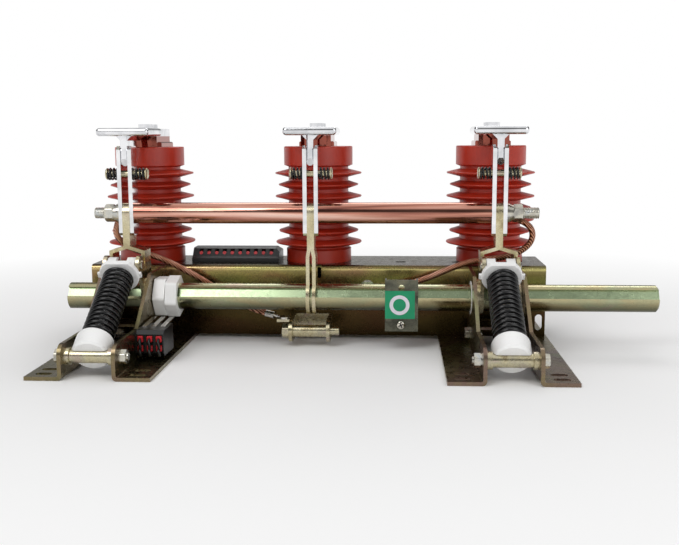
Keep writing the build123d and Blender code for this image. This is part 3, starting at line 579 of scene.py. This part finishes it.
def curve_piece(name, points, radius, key, body, rounding, steps):
    """A smooth round cord or wire along its points."""
    curve = bpy.data.curves.new(name, "CURVE")
    curve.dimensions = "3D"
    curve.bevel_depth = radius
    curve.bevel_resolution = rounding
    curve.resolution_u = steps
    curve.use_fill_caps = True
    spline = curve.splines.new("NURBS")
    spline.points.add(len(points) - 1)
    for target, point in zip(spline.points, points):
        target.co = (*point, 1.0)
    spline.order_u = 3
    spline.use_endpoint_u = True
    return new_piece(name, curve, key, body)


def ring_faces(rings, sides):
    """Four-sided faces between each ring of points and the next."""
    faces = []
    for ring in range(rings - 1):
        low = ring * sides
        high = low + sides
        for step in range(sides):
            following = (step + 1) % sides
            faces.append((low + step, low + following, high + following, high + step))
    return faces


def frame_along(direction):
    """Two unit vectors square to a direction."""
    side = direction.cross(Vector((0, 0, 1)))
    if side.length < 1e-4:
        side = direction.cross(Vector((0, 1, 0)))
    side.normalize()
    return side, direction.cross(side).normalized()


def tube_mesh(line, radius, sides):
    """Points and faces of a round tube along a line, closed at both ends."""
    points = []
    previous_side = None
    for number, centre in enumerate(line):
        before = line[max(number - 1, 0)]
        after = line[min(number + 1, len(line) - 1)]
        direction = (after - before).normalized()
        if previous_side is None:
            side, up = frame_along(direction)
        else:
            side = (previous_side - direction * previous_side.dot(direction)).normalized()
            up = direction.cross(side).normalized()
        previous_side = side
        for step in range(sides):
            turn = 2 * math.pi * step / sides
            offset = side * math.cos(turn) + up * math.sin(turn)
            points.append(centre + offset * radius)
    faces = ring_faces(len(line), sides)
    last = (len(line) - 1) * sides
    faces.append(tuple(reversed(range(sides))))
    faces.append(tuple(range(last, last + sides)))
    return points, faces


def coil_line(start, direction, radius, length, turns, wire_r, steps):
    """The centre line of a coil spring whose ends lie nearly flat."""
    side, up = frame_along(direction)
    rise = wire_r * end_rise_in_wire_r
    line = []
    for number in range(int(turns * steps) + 1):
        turn = number / steps
        inner = min(max(turn - end_turns, 0.0) / (turns - 2 * end_turns), 1.0)
        flat_low = min(turn, end_turns) / end_turns
        flat_high = max(turn - (turns - end_turns), 0.0) / end_turns
        height = wire_r + rise * (flat_low + flat_high)
        height += inner * (length - 2 * wire_r - 2 * rise)
        angle = 2 * math.pi * turn
        place = start + direction * height
        line.append(place + side * radius * math.cos(angle) + up * radius * math.sin(angle))
    return line


def main_springs():
    """The black coil springs, along the line from the pivot to the crank, each riding on its side's
    guide.
    """
    direction = (crank - pivot).normalized()
    for side, x in mechanism_xs.items():
        base = Vector((x, pivot.y, pivot.z)) + direction * cap_length
        line = coil_line(
            base, direction, spring_mean_r, spring_length, spring_turns, spring_wire_r, steps=40,
        )
        points, faces = tube_mesh(line, spring_wire_r, sides=14)
        coil = mesh_piece(f"{side}_coil_spring", points, faces, "spring", f"{side}_guide")
        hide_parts(f"{side}_main_spring")
        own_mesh(coil)


def pressure_coils():
    """The short springs outside the blades."""
    points = []
    faces = []
    for x in pole_xs.values():
        for side in (-1, 1):
            start = Vector((x + side * blade_outer, 0, pressure_bolt_z))
            line = coil_line(
                start, Vector((side, 0, 0)), pressure_spring_r, pressure_spring_length,
                pressure_spring_turns, pressure_wire_r, steps=28,
            )
            more_points, more_faces = tube_mesh(line, pressure_wire_r, sides=10)
            offset = len(points)
            points += more_points
            faces += [tuple(corner + offset for corner in face) for face in more_faces]
    coils = mesh_piece("pressure_coil_springs", points, faces, "spring", "rotor")
    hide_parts("pressure_springs")


def tie_rod_thread(name, x_from, x_to):
    """The screw thread at one end of the tie rod, with a chamfer at its free end."""
    sides = 36
    rings_per_turn = 8
    rings = int(abs(x_to - x_from) / thread_pitch * rings_per_turn)
    points = []
    for ring in range(rings + 1):
        x = x_from + (x_to - x_from) * (ring / rings)
        chamfer = thread_major_r - thread_depth + abs(x_to - x) * thread_chamfer_slope
        for step in range(sides):
            turn = step / sides
            phase = (abs(x - x_from) / thread_pitch - turn) % 1.0
            ridge = 1 - abs(2 * phase - 1)
            radius = min(thread_major_r - thread_depth * (1 - ridge), chamfer)
            angle = 2 * math.pi * turn
            points.append((x, radius * math.cos(angle), tie_rod_z + radius * math.sin(angle)))
    faces = ring_faces(rings + 1, sides)
    faces.append(tuple(range(rings * sides, rings * sides + sides)))
    thing = mesh_piece(name, points, faces, "bolt", "rotor")


def braid(name, points):
    """A braid along the points of its CAD route."""
    thing = curve_piece(name, points, braid_diameter / 2, "braid", "frame", rounding=5, steps=10)
    return thing


def braids():
    """Both braids, which ride on the frame and don't follow the tie rod when it moves."""
    left = braid("left_braid_cord", left_braid_points)
    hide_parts("left_braid")
    right = braid("right_braid_cord", right_braid_points)
    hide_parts("right_braid")


def plate_y(name, outline, y_front, thickness, key, body, hole=None):
    """A thin plate facing -Y from an outline in X and Z, with an optional matching hole."""
    points = []
    faces = []
    count = len(outline)
    for y in (y_front, y_front + thickness):
        points += [(x, y, z) for x, z in outline]
        if hole:
            points += [(x, y, z) for x, z in hole]
    layer = count * (2 if hole else 1)
    for step in range(count):
        following = (step + 1) % count
        faces.append((step, step + layer, following + layer, following))
        if hole:
            inner = step + count
            inner_following = following + count
            faces.append((inner, inner_following, inner_following + layer, inner + layer))
            faces.append((step, following, inner_following, inner))
            faces.append((step + layer, inner + layer, inner_following + layer, following + layer))
    if not hole:
        faces.append(tuple(range(count)))
        faces.append(tuple(reversed(range(layer, layer + count))))
    mesh_piece(name, points, faces, key, body, smooth=False)


def arc(x, z, radius, start, sweep, steps):
    """Points along an arc in X and Z, with its angles in degrees."""
    outline = []
    for step in range(steps + 1):
        angle = math.radians(start + sweep * step / steps)
        outline.append((x + radius * math.cos(angle), z + radius * math.sin(angle)))
    return outline


def rounded_rectangle(x_from, x_to, z_from, z_to, radius):
    """Corner points of a rectangle with rounded corners, anticlockwise from the lower right."""
    outline = arc(x_to - radius, z_from + radius, radius, -90, 90, 5)
    outline += arc(x_to - radius, z_to - radius, radius, 0, 90, 5)
    outline += arc(x_from + radius, z_to - radius, radius, 90, 90, 5)
    outline += arc(x_from + radius, z_from + radius, radius, 180, 90, 5)
    return outline


def ring_circle(radius):
    """Points of a circle about the middle of the sign's ring."""
    return arc(ring_x, ring_z, radius, 0, 360, 48)[:-1]


def sign():
    """The green plate with a white ring that shows the switch's position."""
    outline = rounded_rectangle(sign_left_x, sign_right_x, sign_bottom_z, sign_top_z, sign_corner_r)
    plate_y("sign_plate", outline, sign_front_y, sign_thickness, "sign_green", "rotor")
    plate_y(
        "sign_ring", ring_circle(ring_outer_r), ring_front_y, ring_thickness, "sign_white", "rotor",
        hole=ring_circle(ring_inner_r),
    )


def sign_screw():
    """The pan-head screw below the sign, with a thin near-black cross on its head as painted shade where
    the cross recess would be.
    """
    sides = 40
    height = sign_screw_r * 0.55
    profile = [(1.0, 0.0), (1.0, 0.35), (0.93, 0.62), (0.72, 0.85), (0.4, 0.97)]
    points = []
    for width, rise in profile:
        y = indicator_face_y - height * rise
        ring = arc(sign_screw_x, sign_screw_z, sign_screw_r * width, 0, 360, sides)[:-1]
        points += [(x, y, z) for x, z in ring]
    faces = ring_faces(len(profile), sides)
    faces.append(tuple(range((len(profile) - 1) * sides, len(profile) * sides)))
    mesh_piece("sign_screw", points, faces, "bolt", "rotor")

    arm = sign_screw_r * 0.62
    half = sign_screw_r * 0.13
    cross = [
        (half, half), (arm, half), (arm, -half), (half, -half), (half, -arm), (-half, -arm),
        (-half, -half), (-arm, -half), (-arm, half), (-half, half), (-half, arm), (half, arm),
    ]
    cosine = math.cos(sign_screw_turn)
    sine = math.sin(sign_screw_turn)
    turned = []
    for dx, dz in cross:
        x = sign_screw_x + dx * cosine - dz * sine
        z = sign_screw_z + dx * sine + dz * cosine
        turned.append((x, z))
    # A thin near-black cross in front of the head, painted shade instead of a recess cut into it
    recess_shade_y = indicator_face_y - height * 1.02
    plate_y("sign_screw_recess_shade", turned, recess_shade_y, recess_shade_thickness, "hole", "rotor")


def strip_wires():
    """Red wire ends in the terminal strip's entries, square to its sloping face."""
    pitch = (strip_length - 2 * strip_margin) / (strip_hole_count - 1)
    normal = Vector((0, -math.cos(strip_slope), math.sin(strip_slope)))
    for number in range(strip_hole_count):
        x = strip_left_x + strip_margin + number * pitch
        end = Vector((x, strip_entry_y, strip_entry_z)) - normal * strip_wire_inset
        points, faces = tube_mesh([end - normal * strip_wire_length, end], strip_wire_r, sides=24)
        mesh_piece(f"strip_wire_{number}", points, faces, "wire_red", "frame", smooth=False)


def box_faces(low, high):
    """Points and faces of a box from its two corners."""
    points = [
        (x, y, z) for x in (low[0], high[0]) for y in (low[1], high[1]) for z in (low[2], high[2])
    ]
    faces = [(0, 1, 3, 2), (4, 6, 7, 5), (0, 4, 5, 1), (2, 3, 7, 6), (0, 2, 6, 4), (1, 5, 7, 3)]
    return points, faces


def aux_details():
    """Red wire sleeves in the auxiliary switch's bays, with black wire stubs that droop from them."""
    pitch = aux_width / aux_columns
    rows = [
        (aux_top_z - aux_row_inset, upper_stub_drop),
        (aux_bottom_z + aux_row_inset, lower_stub_drop),
    ]
    for column in range(aux_columns):
        middle = aux_left_x + (column + 0.5) * pitch
        for row, (z, drop) in enumerate(rows):
            low = (middle - sleeve_half_width, sleeve_front_y, z - sleeve_half_height)
            high = (middle + sleeve_half_width, sleeve_back_y, z + sleeve_half_height)
            points, faces = box_faces(low, high)
            name = f"switch_sleeve_{column}_{row}"
            sleeve = mesh_piece(name, points, faces, "wire_red", "frame", smooth=False)
            soften_edges(sleeve, sleeve_edge)
            route = [
                Vector((middle, aux_front_y + 0.001, z)),
                Vector((middle, aux_front_y - 0.004, z - 0.0005)),
                Vector((middle + 0.001, aux_front_y - 0.0065, z - drop)),
                Vector((middle + 0.0012, aux_front_y - 0.0045, z - 2 * drop)),
            ]
            name = f"switch_stub_{column}_{row}"
            curve_piece(name, route, stub_r, "black", "frame", rounding=3, steps=8)


def studio_floor():
    """A pale floor that takes the object's shadow and fades to the white background."""
    bpy.ops.mesh.primitive_plane_add(size=floor_size, location=(0, 0, 0))
    floor = bpy.context.object
    floor.name = "studio_floor"
    recipe = Recipe("studio_floor")
    recipe.shader.inputs["Base Color"].default_value = (0.93, 0.93, 0.93, 1)
    recipe.shader.inputs["Roughness"].default_value = 0.9
    recipe.shader.inputs["Specular IOR Level"].default_value = 0.0
    away = recipe.spread(recipe.length(recipe.place), 0.0, 1.0, fade_start, fade_end)
    path = recipe.add("ShaderNodeLightPath")
    seen = recipe.maths("MAXIMUM", path.outputs["Is Camera Ray"], path.outputs["Is Glossy Ray"])
    white = recipe.add("ShaderNodeEmission")
    mixed = recipe.add("ShaderNodeMixShader")
    recipe.link(recipe.maths("MULTIPLY", away, seen), mixed.inputs["Fac"])
    recipe.link(recipe.shader.outputs["BSDF"], mixed.inputs[1])
    recipe.link(white.outputs["Emission"], mixed.inputs[2])
    recipe.link(mixed.outputs["Shader"], recipe.tree.nodes["Material Output"].inputs["Surface"])
    floor.data.materials.append(recipe.material)


def studio_world():
    """White for the camera, and for other rays a dark band round the horizon that metal reflects."""
    world = bpy.data.worlds.new("studio")
    bpy.context.scene.world = world
    world.use_nodes = True
    tree = Tree(world.node_tree)
    parts = tree.add("ShaderNodeSeparateXYZ")
    tree.link(tree.add("ShaderNodeTexCoord").outputs["Generated"], parts.inputs["Vector"])
    levels = [(0.0, 0.95), (0.12, 0.85), (0.28, 0.14), (0.64, 0.12), (0.80, 0.80), (1.0, 0.9)]
    banded = tree.ramp(parts.outputs["Z"], [(place, (level,) * 3) for place, level in levels])
    path = tree.add("ShaderNodeLightPath")
    shown = tree.blend(path.outputs["Is Camera Ray"], banded, (1, 1, 1))
    background = world.node_tree.nodes["Background"]
    tree.link(shown, background.inputs["Color"])
    background.inputs["Strength"].default_value = 1.0


def lamp(name, place, width, height, power):
    """A rectangular soft lamp aimed at the object."""
    light = bpy.data.lights.new(name, "AREA")
    light.shape = "RECTANGLE"
    light.size = width
    light.size_y = height
    light.energy = power
    thing = bpy.data.objects.new(name, light)
    bpy.context.scene.collection.objects.link(thing)
    thing.location = place
    aim = lamp_target - Vector(place)
    thing.rotation_euler = aim.to_track_quat("-Z", "Y").to_euler()


def camera():
    """The photograph's camera."""
    data = bpy.data.cameras.new("photo_camera")
    data.sensor_fit = "HORIZONTAL"
    data.sensor_width = 36.0
    data.lens = camera_lens
    data.clip_start = 0.05
    data.clip_end = 30.0
    data.shift_y = camera_shift_y
    thing = bpy.data.objects.new("photo_camera", data)
    bpy.context.scene.collection.objects.link(thing)
    turn = Matrix.Rotation(math.radians(camera_heading), 4, "Z")
    turn = turn @ Matrix.Rotation(math.radians(90 - camera_dip), 4, "X")
    turn = turn @ Matrix.Rotation(math.radians(camera_roll), 4, "Z")
    thing.matrix_world = Matrix.Translation(camera_place) @ turn
    bpy.context.scene.camera = thing


dress_nodes()
main_springs()
pressure_coils()
tie_rod_thread("tie_rod_thread_left", -thread_start_x, thread_left_end_x)
tie_rod_thread("tie_rod_thread_right", thread_start_x, thread_right_end_x)
braids()
sign()
sign_screw()
strip_wires()
aux_details()

studio_floor()
studio_world()
lamp("key_lamp", (-0.7, -1.1, 1.3), width=0.9, height=0.9, power=9)
lamp("fill_lamp", (1.0, -1.1, 0.7), width=0.8, height=0.8, power=5)
lamp("back_lamp", (0.2, 1.2, 1.2), width=1.4, height=0.5, power=6)
camera()
bpy.context.scene.view_settings.view_transform = "Standard"
